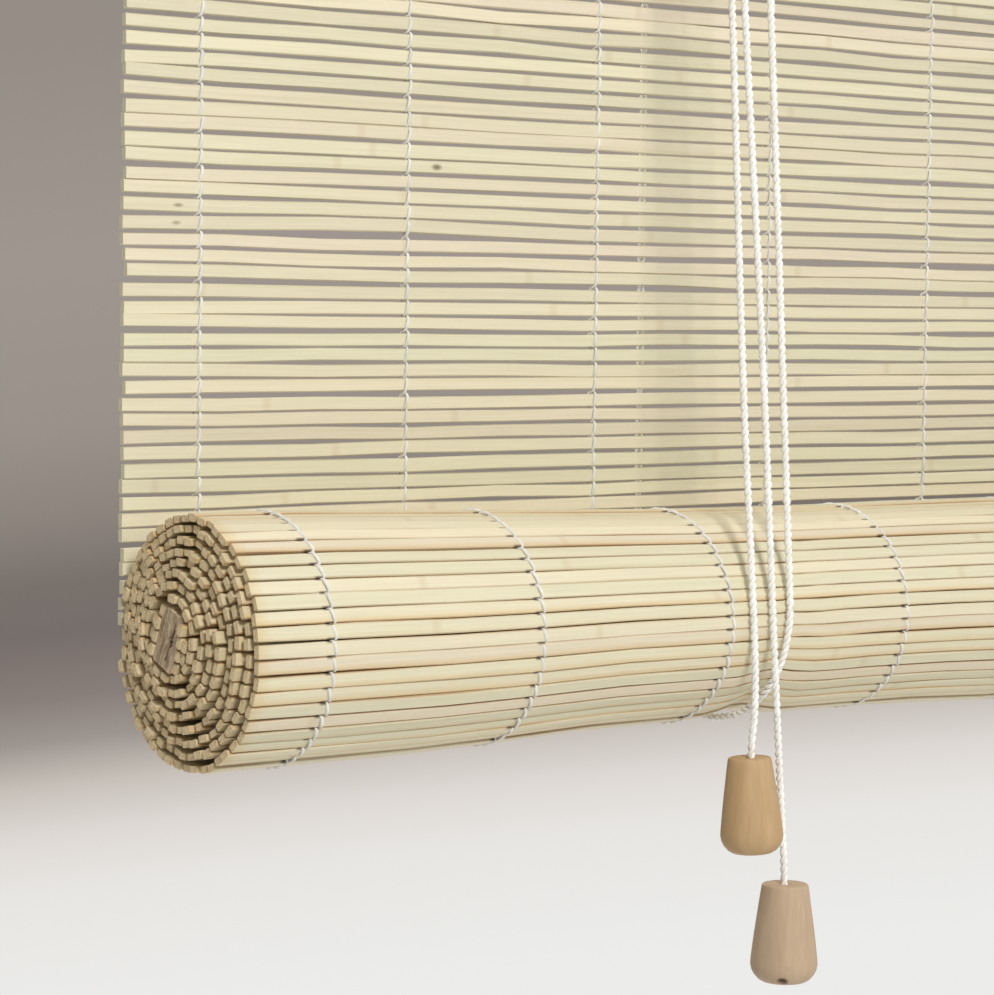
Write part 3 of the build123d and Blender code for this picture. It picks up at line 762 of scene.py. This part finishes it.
# rolled part: the mat winds in from the rear, under, up the front and over, in steps of a layer
roll = {
    "radius": 36.0 * mm, "layer": 3.25 * mm, "turns": 7.75, "roundShare": 0.75, "seed": 11,
    "gap": 0.75 * mm, "setback": 4.5 * mm, "telescope": 3.0 * mm,
    "outerTurns": 1.05, "threadTurns": 1.025,
    # uneven slats, looser inside: tilt, lift and slide of each slat and of its stations
    "tilt": (math.radians(3.2), 0.02), "lift": (0.15 * mm, 0.1 * mm),
    "slide": (0.09 * mm, 0.08 * mm), "looser": 0.8,
    "outerTilt": 0.5, "outerLift": (-0.3 * mm, 0.35 * mm), "outerEnds": 0.88,
    # width, thickness and ragged ends: middle, spread and limits
    "outerWide": (1.19, 0.035, 0.9, 1.24), "innerWide": (1.01, 0.035, 0.9, 1.24), "wideStep": 0.025,
    "thick": (1.0, 0.08, 0.85, 1.12), "ragged": (0.9 * mm, 0.6 * mm, -1.2 * mm, 3.0 * mm),
    # away from the lift loops the turns hang loose, lower and further to the front
    "loose": (50 * mm, 135 * mm), "slack": 0.032, "enter": 0.7,
    # the loops press a groove from below, and between them the roll is lower than at its ends
    "groove": 2.7 * mm, "grooveReach": 10 * mm, "grooveTop": 0.15, "grooveRun": 0.5,
    "settle": 0.034, "endRise": 1.4, "ends": (280 * mm, blindWidth / 2),
    "settleMore": 0.02, "middle": (350 * mm, 210 * mm),
}
coreRadius = roll["radius"] - roll["layer"] * math.floor(roll["turns"])
coreY = rollAxis.y + roll["setback"]


# batten in the core of the roll, with a check in its ends and slats on its wide sides
core = {
    "width": 17.6 * mm, "depth": 10.4 * mm, "edge": 1.0 * mm, "tilt": 113.0, "seed": 5,
    "rough": 0.16 * mm, "rim": 0.4 * mm, "standOut": 2.2 * mm, "cells": (36, 20), "smooth": 40,
    # the check's place, slope, waves, half width, reach and depth, and the hole at its middle
    "checkAt": 1.2 * mm, "slope": 0.1, "wave": 0.3 * mm, "waves": 700, "checkHalf": 0.55 * mm,
    "checkReach": 6.8 * mm, "checkDeep": 1.1 * mm, "holeAt": -0.4 * mm, "holeEdge": 1.44 * mm,
    "holeFade": 0.9 * mm, "holeDeep": 2.6 * mm, "grain": (12.0, 110.0, 820.0),
    "light": paint(226, 204, 172), "dark": paint(158, 134, 104), "pore": paint(92, 72, 50),
    "check": paint(54, 42, 30),
    # how far along the batten and away from its middle each slat lies, in mm
    "wraps": [
        (-6.4, 6.3), (-2.1, 6.35), (2.2, 6.3), (6.4, 6.3), (-2.1, 8.6), (2.1, 8.6), (-6.4, -6.3),
        (-2.1, -6.3), (2.2, -6.35), (6.4, -6.3), (-2.1, -8.6), (2.1, -8.6)],
    "wrapEnds": (0.4 * mm, 0.5 * mm), "wrapWide": 0.96,
}
battenTurn = math.radians(core["tilt"])
battenCos, battenSin = math.cos(battenTurn), math.sin(battenTurn)


def layerRadius(angle):
    turn, rest = divmod(angle / (2 * math.pi), 1)
    stepIn = max(0.0, rest - roll["roundShare"]) / (1 - roll["roundShare"])
    return roll["radius"] - roll["layer"] * (turn + stepIn)


def layerShare(radius):
    return (roll["radius"] - radius) / (roll["radius"] - coreRadius)


def rollPlace(angle, radius, out=0.0, up=0.0):
    y = rollAxis.y + roll["setback"] * layerShare(radius)
    y += (radius + out) * np.cos(angle) + up * np.sin(angle)
    z = rollAxis.z - (radius + out) * np.sin(angle) + up * np.cos(angle)
    return y, z


def loosen(x, y, z, angle, inner):
    radius = roll["radius"]
    away = abs(abs(x) - loopX)
    enter = min(1.0, max(0.0, angle) / roll["enter"])
    grow = roll["slack"] * ease(away, *roll["loose"]) * (1 - inner) * enter
    y = y + grow * (y - rollAxis.y - radius)
    z = z + grow * (z - rollAxis.z - radius)
    settle = roll["settle"] * (1 - roll["endRise"] * ease(abs(x), *roll["ends"]))
    settle = settle + roll["settleMore"] * ease(abs(x), *roll["middle"])
    z = z - settle * np.maximum(0, z - rollAxis.z + radius)
    under = rollAxis.z + roll["grooveTop"] * radius - z
    under = np.clip(under / (roll["grooveRun"] * radius), 0, 1)
    press = np.exp(-(away / roll["grooveReach"]) ** 2) * under * (1 - inner)
    press = roll["groove"] / radius * press
    return y - press * (y - rollAxis.y), z - press * (z - rollAxis.z)


# middle angle of every slat from the outer end of the roll inwards
def rollAngles():
    angles = []
    start = 0.0
    while start < 2 * math.pi * roll["turns"]:
        middle = layerRadius(start) - slat["thickness"] / 2
        angles.append(start + slat["width"] / 2 / middle)
        start += (slat["width"] + roll["gap"]) / middle
    return angles


def makeRollSlats():
    chance = np.random.RandomState(roll["seed"])
    pieces = []
    for i, angle in enumerate(rollAngles()):
        outer = angle < roll["outerTurns"] * 2 * math.pi
        source = outerBlank if outer else innerBlank
        base, station, stations = source["shape"]
        count = len(stations)
        inner = layerShare(layerRadius(angle))
        loose = 1 + roll["looser"] * inner
        tilt = waver(chance, roll["tilt"], count, loose)
        lift = waver(chance, roll["lift"], count, loose)
        slide = waver(chance, roll["slide"], count)
        wide = between(chance, *roll["outerWide" if outer else "innerWide"])
        thick = between(chance, *roll["thick"])
        ends = stations - roll["telescope"] * inner
        ends[0] += between(chance, *roll["ragged"])
        ends[-1] -= between(chance, *roll["ragged"])
        widths = wide + chance.normal(0, roll["wideStep"], count)
        if outer:
            lift = np.clip(lift, *roll["outerLift"])
            tilt = tilt * roll["outerTilt"]
            widths[[0, -1]] *= roll["outerEnds"]
        out, up, lean = base[:, 1] * thick, base[:, 2] * widths[station], tilt[station]
        leanOut = out * np.cos(lean) - up * np.sin(lean) - slat["thickness"] / 2 + lift[station]
        leanUp = out * np.sin(lean) + up * np.cos(lean) + slide[station]
        y, z = rollPlace(angle, layerRadius(angle), leanOut, leanUp)
        y, z = loosen(ends[station], y, z, angle, inner)
        points = np.column_stack([ends[station], y, z])
        pieces.append(copySlat(source, f"rollSlat{i}", points, slatTone(chance), flatRows + i))
    # a few slats lie flat on both sides of the core batten
    along, off = np.array((battenCos, battenSin)), np.array((-battenSin, battenCos))
    middle = np.array((coreY, rollAxis.z))
    base, station, stations = innerBlank["shape"]
    spread = base[:, 1:2] * off + core["wrapWide"] * base[:, 2:3] * along
    for j, (shift, away) in enumerate(core["wraps"]):
        ends = stations - roll["telescope"] + chance.normal(*core["wrapEnds"])
        centre = middle + shift * mm * along + away * mm * off
        points = np.column_stack([ends[station], centre + spread])
        row = flatRows + len(pieces)
        pieces.append(copySlat(innerBlank, f"coreSlat{j}", points, slatTone(chance), row))
    return joinSlats(pieces, "rollSlats")


threadAngles = [angle for angle in rollAngles() if angle < roll["threadTurns"] * 2 * math.pi]
slatTurn = (slat["width"] + roll["gap"]) / (roll["radius"] - slat["thickness"] / 2)


def rollThreadAt(rows, x, out):
    angle = threadAngles[0] + (rows - 0.5) * slatTurn
    radius = layerRadius(max(angle, 0.0))
    y, z = rollPlace(angle, radius, out * threadReach - slat["thickness"] / 2)
    return (x, *loosen(x, y, z, angle, layerShare(radius)))


rollSlats = makeRollSlats()
rollThreads = makeThreads("rollThreads", len(threadAngles), rollThreadAt, threads["rollSeed"], 1)
seat(rollSlats, "roll", "mat_roll")
seat(rollThreads, "roll", "roll_warp_threads")
for source in (flatBlank, outerBlank, innerBlank):
    bpy.data.objects.remove(source["blank"])
print("roll wound")


# a fine grid drawn out to a bar, so that both ends can be worked
def makeCoreBatten():
    wide, deep = core["cells"]
    bpy.ops.mesh.primitive_grid_add(x_subdivisions=wide, y_subdivisions=deep, size=1.0)
    bar = bpy.context.object
    bar.name = "coreBatten"
    bar.scale = (core["width"], core["depth"], 1.0)
    bar.rotation_euler = (math.pi / 2, 0.0, math.pi / 2)
    bpy.ops.object.transform_apply(location=False, rotation=True, scale=True)
    bpy.ops.object.mode_set(mode="EDIT")
    bpy.ops.mesh.select_all(action="SELECT")
    bpy.ops.mesh.extrude_region_move(TRANSFORM_OT_translate={"value": (blindWidth, 0.0, 0.0)})
    bpy.ops.mesh.select_all(action="SELECT")
    bpy.ops.transform.translate(value=(-blindWidth / 2, 0.0, 0.0))
    bpy.ops.mesh.normals_make_consistent(inside=False)
    bpy.ops.object.mode_set(mode="OBJECT")
    return bar


def workBatten(bar):
    chance = np.random.RandomState(core["seed"])
    x, y, z = readPoints(bar.data).T
    wide, deep, edge = core["width"] / 2, core["depth"] / 2, core["edge"]
    # round the long corners
    overWide = np.maximum(abs(y) - wide + edge, 0)
    overDeep = np.maximum(abs(z) - deep + edge, 0)
    reach = np.maximum(np.hypot(overWide, overDeep), 1e-9)
    pull = 1 - np.maximum(overWide, overDeep) / reach
    pull = np.where((overWide > 0) & (overDeep > 0), pull, 0)
    y = y - np.sign(y) * overWide * pull
    z = z - np.sign(z) * overDeep * pull
    # worn ends with the check and its hole
    rim, checkAt = core["rim"], core["checkAt"]
    inward = -np.sign(x) * ((abs(y) < wide - rim) & (abs(z) < deep - rim))
    x = x + inward * abs(chance.normal(0, core["rough"], len(x)))
    line = checkAt + core["slope"] * y + core["wave"] * np.sin(y * core["waves"])
    crack = np.clip(1 - abs(z - line) / core["checkHalf"], 0, 1)
    crack = crack * (abs(y) < core["checkReach"])
    away = np.hypot(y - core["holeAt"], z - checkAt)
    hole = np.clip((core["holeEdge"] - away) / core["holeFade"], 0, 1)
    x = x + inward * (core["checkDeep"] * crack + core["holeDeep"] * hole)
    movePoints(bar, np.column_stack([x - core["standOut"],
                                     y * battenCos - z * battenSin + coreY,
                                     y * battenSin + z * battenCos + rollAxis.z]))
    smoothTo(bar, core["smooth"])


# growth rings run along the wide side of the batten and show as lines on its ends
def coreMaterial():
    material, shader = startMaterial("coreWood", Roughness=0.75, Specular_IOR_Level=0.25)
    turned = turnedCoords((-battenTurn, 0.0, 0.0))
    drawn = vecMath("MULTIPLY", turned, core["grain"])
    ring = fit(noise(drawn, 1.0, 3.0, 0.6), 0.34, 0.62)
    pore = noise(drawn, 3.4, 3.0, 0.7)
    colour = mix(ring, core["dark"], core["light"])
    colour = mix(fit(pore, 0.58, 0.7, 0.0, 0.6), colour, core["pore"])
    middle = (0.0, coreY * battenCos + rollAxis.z * battenSin,
              rollAxis.z * battenCos - coreY * battenSin)
    place = addNode("SeparateXYZ", {0: vecMath("SUBTRACT", turned, middle)}).outputs
    off = doMath("MULTIPLY_ADD", place[1], -core["slope"], place[2])
    off = apart(off, core["checkAt"])
    reach = fit(doMath("ABSOLUTE", place[1]), 6.2 * mm, 7.0 * mm, 1.0, 0.0)
    line = times(fit(off, 0.15 * mm, 0.5 * mm, 0.75, 0.0), reach)
    hole = doMath("POWER", doMath("ADD", place[1], -core["holeAt"]), 2.0)
    hole = doMath("SQRT", doMath("MULTIPLY_ADD", off, off, hole))
    line = doMath("MAXIMUM", line, fit(hole, 0.7 * mm, 1.2 * mm, 0.95, 0.0))
    colour = mix(line, colour, core["check"])
    feed(shader, {"Base Color": colour, "Normal": bump(pore, 0.4, 0.15 * mm)})
    return material


batten = makeCoreBatten()
workBatten(batten)
dress(batten, coreMaterial())
seat(batten, "roll", "bottom_batten")
print("core batten in place")


# turned pull knobs: the outside as shares of the belly's radius and the height, then the bore
knob = {
    "outside": [
        (0.53, 0.0), (0.64, 0.008), (0.78, 0.035), (0.90, 0.082), (0.973, 0.132), (1.0, 0.185),
        (0.99, 0.24), (0.925, 0.43), (0.85, 0.62), (0.775, 0.80), (0.705, 0.962), (0.69, 0.985),
        (0.672, 0.996), (0.65, 1.0)],
    "bore": 1.7 * mm, "boreEdge": 0.4 * mm, "counterbore": 4.2 * mm, "counterboreDepth": 8.0 * mm,
    "steps": 48, "lean": {"near": 0.0, "far": 2.6}, "smooth": 38,
    "grain": (12.0, 260.0), "lines": 0.04,
    # the nick under the near knob, from the middle of its base
    "nick": Vector((-6.2, -6.0, 1.9)) * mm, "nickReach": 1.7 * mm, "nickDeep": 1.5 * mm,
    "nickFade": 0.7, "nickField": 3.74 * mm, "nickFine": 3, "nickAim": 6.0 * mm,
    "nickSpot": 2.2 * mm, "nickTone": paint(70, 52, 34),
}


def knobBase(side):
    node = f"pull_knob_{side}"
    return Vector((*middleOf(node)[:2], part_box(node)[0].z))


def makeKnob(side, wood, nick=None):
    node = f"pull_knob_{side}"
    low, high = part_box(node)
    base = knobBase(side)
    mesh = bpy.data.meshes.new(f"pullKnob{side.title()}")
    radius, height = (high.x - low.x) / 2, high.z - low.z
    bore, edge = knob["bore"], knob["boreEdge"]
    wide, deep = knob["counterbore"], knob["counterboreDepth"]
    profile = [(share * radius, rise * height) for share, rise in knob["outside"]]
    profile += [(bore + edge, height), (bore, height - edge), (bore, deep)]
    profile += [(wide, deep), (wide, 0.0)]
    places = [(base.x + out, base.y, base.z + rise) for out, rise in profile]
    count = len(places)
    mesh.from_pydata(places, [(i, (i + 1) % count) for i in range(count)], [])
    piece = bpy.data.objects.new(mesh.name, mesh)
    bpy.context.collection.objects.link(piece)
    pickOnly(piece)
    bpy.ops.object.mode_set(mode="EDIT")
    bpy.ops.mesh.select_all(action="SELECT")
    bpy.ops.mesh.spin(steps=knob["steps"], angle=2 * math.pi, center=base, axis=(0, 0, 1))
    bpy.ops.mesh.select_all(action="SELECT")
    bpy.ops.mesh.remove_doubles(threshold=0.01 * mm)
    bpy.ops.mesh.normals_make_consistent(inside=False)
    if nick:
        reach = knob["nickField"]
        choose(piece, "FACE", lambda face: (face.calc_center_median() - nick).length < reach)
        bpy.ops.mesh.subdivide(number_cuts=knob["nickFine"])
    bpy.ops.object.mode_set(mode="OBJECT")
    if nick:
        points = readPoints(piece.data)
        away = np.linalg.norm(points - np.array(nick), axis=1) / knob["nickReach"]
        inward = np.array(base) + np.array((0.0, 0.0, knob["nickAim"])) - points
        inward /= np.linalg.norm(inward, axis=1)[:, None]
        points += inward * (np.clip(1 - away, 0, 1) ** knob["nickFade"] * knob["nickDeep"])[:, None]
        movePoints(piece, points)
    aside = math.radians(camera["yaw"])
    lean = turnAbout((math.sin(aside), math.cos(aside), 0.0), -knob["lean"][side])
    stand = Matrix.Translation(base)
    piece.data.transform(stand @ lean @ stand.inverted())
    smoothTo(piece, knob["smooth"])
    dress(piece, wood)
    seat(piece, f"{side}_knob", node)
    return piece


# the knot inside a knob is a closed overhand knot
knobKnot = {"points": 72, "size": np.array((0.75, 0.75, 1.3)) * mm, "tube": 1.1 * mm}


def makeKnobKnot(side):
    node = f"knob_knot_{side}"
    turn = np.linspace(0, 2 * math.pi, knobKnot["points"], endpoint=False)
    path = np.column_stack([np.sin(turn) + 2 * np.sin(2 * turn),
                            np.cos(turn) - 2 * np.cos(2 * turn), -np.sin(3 * turn)])
    path = np.array(middleOf(node)) + path * knobKnot["size"]
    name = f"knobKnot{side.title()}"
    piece = tubesToMesh(name, [path], knobKnot["tube"], cordYarn, sides=2, cyclic=True)
    seat(piece, f"{side}_knob", node)
    return piece


nickPlace = knobBase("near") + knob["nick"]
nearWood = woodMaterial(
    "nearKnobWood", paint(200, 176, 148), paint(191, 165, 137), *knob["grain"], True,
    [(nickPlace, knob["nickSpot"], knob["nickTone"])], knob["lines"])
farWood = woodMaterial(
    "farKnobWood", paint(199, 168, 127), paint(190, 157, 115), *knob["grain"], True,
    lines=knob["lines"])
knobs = {"near": makeKnob("near", nearWood, nickPlace), "far": makeKnob("far", farWood)}
knots = {side: makeKnobKnot(side) for side in bothSides}
print("knobs turned")


# pull cords: from the wheels over the front of the roll to the knobs, in mm
pullCords = {
    "near": [
        (-262.1, -40.0, -43.12), (-261.96, -41.15, -58.9), (-260.5, -64.0, -380.0),
        (-257.5, -76.4, -530.0), (-257.0, -82.0, -608.5), (-251.2, -81.4, -672.0),
        (-248.7, -81.2, -695.9), (-248.7, -81.2, -719.6)],
    "far": [
        (-262.1, -35.0, -43.12), (-262.05, -36.3, -58.9), (-263.0, -64.0, -400.0),
        (-265.9, -75.6, -535.0), (-265.0, -82.0, -608.4), (-262.9, -81.4, -638.0),
        (-264.39, -80.34, -653.9), (-263.58, -80.98, -676.5)],
}
# heights at which a pull cord leaves the roll's front and at which its free end starts
pullSpans = {"cornerZ": -0.6085, "freeZ": -0.6410}


def makePullCord(side):
    node = f"pull_cord_{side}"
    line = readRoute([Vector(place) * mm for place in pullCords[side]])
    strands, strandRadius = layStrands(line)
    corner = int(np.argmax(line[:, 2] < pullSpans["cornerZ"]))
    free = int(np.argmax(line[:, 2] < pullSpans["freeZ"]))
    spans = {"Upper": (0, corner), "Middle": (corner, free), "Lower": (free, len(line) - 1)}
    for part, (first, last) in spans.items():
        paths = [strand[first:last + 1] for strand in strands]
        piece = tubesToMesh(f"pullCord{side.title()}{part}", paths, strandRadius, cordYarn)
        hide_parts(node)
        if part == "Upper":
            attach(piece, "head")
            shorten(piece)
        elif part == "Middle":
            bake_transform(piece)
        else:
            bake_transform(piece)


for side in bothSides:
    makePullCord(side)
print("pull cords laid")


# tied ends on the screw eyes: a loop through the eye and four tight wraps
tie = {
    "loopRadius": 2.0 * mm, "loopDrop": 3.0 * mm, "loopTube": 0.95 * mm, "loopPoints": 30,
    "wrapRadius": 1.45 * mm, "wrapTop": 6.0 * mm, "wrapLow": 0.9 * mm, "wrapTube": 0.85 * mm,
    "wraps": 4, "wrapPoints": 96,
}


def makeAnchorKnot(side):
    node = f"anchor_knot_{side}"
    low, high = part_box(node)
    x, y = middleOf(node)[:2]
    turn = np.linspace(0, 2 * math.pi, tie["loopPoints"], endpoint=False)
    loop = np.column_stack([np.full(len(turn), x), y + tie["loopRadius"] * np.cos(turn),
                            high.z - tie["loopDrop"] + tie["loopRadius"] * np.sin(turn)])
    wind = np.linspace(0, 2 * math.pi * tie["wraps"], tie["wrapPoints"])
    drop = np.linspace(low.z + tie["wrapTop"], low.z + tie["wrapLow"], len(wind))
    wraps = np.column_stack([x + tie["wrapRadius"] * np.cos(wind),
                             y + tie["wrapRadius"] * np.sin(wind), drop])
    loopPiece = tubesToMesh("tieLoop", [loop], tie["loopTube"], cordYarn, sides=2, cyclic=True)
    wrapPiece = tubesToMesh("tieWraps", [wraps], tie["wrapTube"], cordYarn, sides=2)
    piece = joinPieces([loopPiece, wrapPiece], f"anchorKnot{side.title()}")
    seat(piece, "head", node)


for side in bothSides:
    makeAnchorKnot(side)


# hardware and battens keep their CAD shape
finishes = {
    "batten_wood": woodMaterial(
        "headWood", paint(214, 188, 146), paint(176, 144, 100), 9.0, 130.0),
    "plated_steel": metalMaterial(
        "platedSteel", paint(206, 206, 204), paint(168, 168, 166), 0.36, 260.0),
    "fastener": metalMaterial(
        "fastenerSteel", paint(192, 192, 190), paint(146, 146, 144), 0.42, 420.0),
    "wheel_brass": metalMaterial(
        "wheelBrass", paint(218, 192, 126), paint(170, 140, 82), 0.32, 320.0),
}
for row in frame["record"]["subparts"]:
    finish = finishes.get(row["material_slot"])
    if finish and not nodes[row["node"]].hide_render:
        dress(nodes[row["node"]], finish)
print("hardware dressed")


# pale floor far below, soft lights from the upper left front and high behind, and a backdrop
studio = {
    "floorZ": -1.75, "floorSize": 4.8, "floor": (paint(232, 231, 228), paint(238, 237, 235)),
    "keyFrom": (-0.85, -1.80, 0.5), "keyAim": (-0.27, -0.05, -0.55), "keySize": 0.45,
    "keyPower": 30.5, "rearFrom": (0.15, 1.5, 1.4), "rearAim": (-0.2, 0.0, -0.4), "rearSize": 1.3,
    "rearPower": 54.0,
    "tone": (1.0, 0.99, 0.97), "ambient": (0.0, 0.76), "ambientFrom": (0.72, -0.06, 0.69),
    "backdropUp": (-0.088, 0.0692, 1.0),
    # backdrop by height: pale below, a painted shadow of the roll, then grey painted shade on the wall
    "backdrop": [
        (-0.205, paint(236, 236, 234)), (-0.166, paint(232, 230, 227)),
        (-0.148, paint(222, 216, 212)), (-0.134, paint(200, 193, 186)),
        (-0.12, paint(157, 149, 143)), (-0.107, paint(136, 127, 122)),
        (-0.088, paint(119, 111, 107)), (-0.072, paint(121, 113, 108)),
        (-0.052, paint(140, 132, 125)), (-0.025, paint(153, 145, 138)),
        (0.028, paint(159, 150, 144)), (0.095, paint(150, 142, 134))],
}


def makeFloor():
    bpy.ops.mesh.primitive_plane_add(size=studio["floorSize"], location=(0, 0, studio["floorZ"]))
    floor = bpy.context.object
    floor.name = "studioFloor"
    bpy.ops.object.transform_apply(location=True, rotation=False, scale=False)
    material, shader = startMaterial("paleFloor", Roughness=0.8)
    cloud = noise(coords(), 3.0, 2.0)
    feed(shader, {"Base Color": mix(cloud, *studio["floor"])})
    dress(floor, material)


def makeLight(name):
    place, target = Vector(studio[name + "From"]), Vector(studio[name + "Aim"])
    bpy.ops.object.light_add(type="AREA", location=place)
    lamp = bpy.context.object
    lamp.name = name + "Light"
    lamp.rotation_euler = (target - place).to_track_quat("-Z", "Y").to_euler()
    lamp.data.shape = "SQUARE"
    lamp.data.size = studio[name + "Size"]
    lamp.data.energy = studio[name + "Power"]
    lamp.data.color = studio["tone"]


def makeBackdrop():
    world = bpy.data.worlds.new("studioWorld")
    world.use_nodes = True
    bpy.context.scene.world = world
    opened["tree"] = world.node_tree
    world.node_tree.nodes.clear()
    heading = addNode("TexCoord").outputs["Generated"]
    height = vecMath("DOT_PRODUCT", heading, studio["backdropUp"])
    lowest, highest = studio["backdrop"][0][0], studio["backdrop"][-1][0]
    share = fit(height, lowest, highest)
    stops = [((z - lowest) / (highest - lowest), colour) for z, colour in studio["backdrop"]]
    shown = addNode("Background", {"Color": ramp(share, stops), "Strength": 1.0})
    toward = vecMath("DOT_PRODUCT", heading, studio["ambientFrom"])
    level = fit(toward, -1.0, 1.0, *studio["ambient"])
    around = addNode("Background", {"Color": (*studio["tone"], 1.0), "Strength": level})
    rays = addNode("LightPath").outputs
    seen = doMath("MAXIMUM", rays["Is Glossy Ray"], rays["Is Transmission Ray"])
    seen = doMath("MAXIMUM", rays["Is Camera Ray"], seen)
    mixed = addNode("MixShader", {0: seen, 1: around.outputs[0], 2: shown.outputs[0]})
    addNode("OutputWorld", {0: mixed.outputs[0]})


makeFloor()
makeLight("key")
makeLight("rear")
makeBackdrop()
bpy.context.scene.view_settings.view_transform = "Standard"
print("studio lit")
